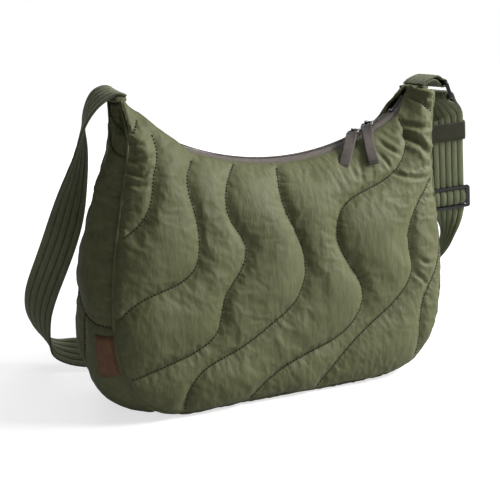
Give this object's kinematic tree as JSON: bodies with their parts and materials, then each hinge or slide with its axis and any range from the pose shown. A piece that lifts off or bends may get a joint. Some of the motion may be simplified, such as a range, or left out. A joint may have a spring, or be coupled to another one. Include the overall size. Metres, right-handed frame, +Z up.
{
  "type": "hobo bag",
  "caption": "Crescent-shaped quilted fabric hobo bag with a curved top zip, ribbon pulls and a padded adjustable shoulder strap.",
  "frame": {"origin": "centre of the bag's flat base where it stands on the floor", "axes": "+Z up, +X towards the bag's right horn with the ring, -Y out of the front panel"},
  "size_m": [0.5265, 0.2437, 0.3395],
  "materials": {
    "shell": "crinkled quilted nylon",
    "lining": "plain woven lining",
    "tape": "woven zip tape",
    "coil": "nylon coil",
    "stop": "moulded end stop",
    "black_metal": "satin black",
    "ribbon": "grosgrain ribbon",
    "strap": "channel stitched padded strap",
    "keeper": "woven elastic",
    "leather": "smooth brown leather"
  },
  "bodies": {
    "bag": {"front_panel": "shell", "back_panel": "shell", "gusset": "shell", "front_lining": "lining", "back_lining": "lining", "gusset_lining": "lining", "inner_pocket": "lining", "zip_tape_front": "tape", "zip_tape_back": "tape", "zip_coil_front": "coil", "zip_coil_back": "coil", "zip_stop_left": "stop", "zip_stop_right": "stop", "horn_cap_left": "shell", "horn_cap_right": "shell", "shoulder_strap": "strap", "strap_anchor": "strap", "leather_tab": "leather"},
    "slider_left": {"slider_left": "black_metal"},
    "slider_right": {"slider_right": "black_metal"},
    "pull_left": {"pull_loop_left": "black_metal"},
    "pull_right": {"pull_loop_right": "black_metal"},
    "ribbon_left": {"ribbon_pull_left": "ribbon"},
    "ribbon_right": {"ribbon_pull_right": "ribbon"},
    "ring": {"ring": "black_metal"},
    "triglide": {"triglide": "black_metal", "strap_tail": "strap"},
    "keeper": {"strap_keeper": "keeper"}
  },
  "joints": [
    {"name": "zip_slider_left_travel", "type": "hinge", "parent": "bag", "child": "slider_left", "pos_m": [0, 0, 0.554], "axis": [0, 1, 0], "range_deg": [0, 47]},
    {"name": "zip_slider_right_travel", "type": "hinge", "parent": "bag", "child": "slider_right", "pos_m": [0, 0, 0.554], "axis": [0, 1, 0], "range_deg": [-5.12, 0]},
    {"name": "pull_left_swing", "type": "hinge", "parent": "slider_left", "child": "pull_left", "pos_m": [0.10607, 0, 0.2791], "axis": [0.6481, -0.7193, 0.2501], "range_deg": [-100, 0]},
    {"name": "ribbon_left_swing", "type": "hinge", "parent": "pull_left", "child": "ribbon_left", "pos_m": [0.09829, -0.00806, 0.2761], "axis": [0.6481, -0.7193, 0.2501], "range_deg": [-40, 0]},
    {"name": "pull_right_swing", "type": "hinge", "parent": "slider_right", "child": "pull_right", "pos_m": [0.12406, 0, 0.28674], "axis": [0.6948, -0.6428, 0.3225], "range_deg": [-100, 0]},
    {"name": "ribbon_right_swing", "type": "hinge", "parent": "pull_right", "child": "ribbon_right", "pos_m": [0.11729, -0.00889, 0.2836], "axis": [0.6948, -0.6428, 0.3225], "range_deg": [-40, 0]},
    {"name": "ring_swing", "type": "hinge", "parent": "bag", "child": "ring", "pos_m": [0.217, 0, 0.33], "axis": [0, 1, 0], "range_deg": [-1.5, 5]},
    {"name": "triglide_slide", "type": "slide", "parent": "bag", "child": "triglide", "axis": [-0.17, -0.105, 0.9798], "range_m": [0, 0.014]},
    {"name": "keeper_slide", "type": "slide", "parent": "bag", "child": "keeper", "axis": [-0.17, -0.105, 0.9798], "range_m": [-0.008, 0]}
  ]
}
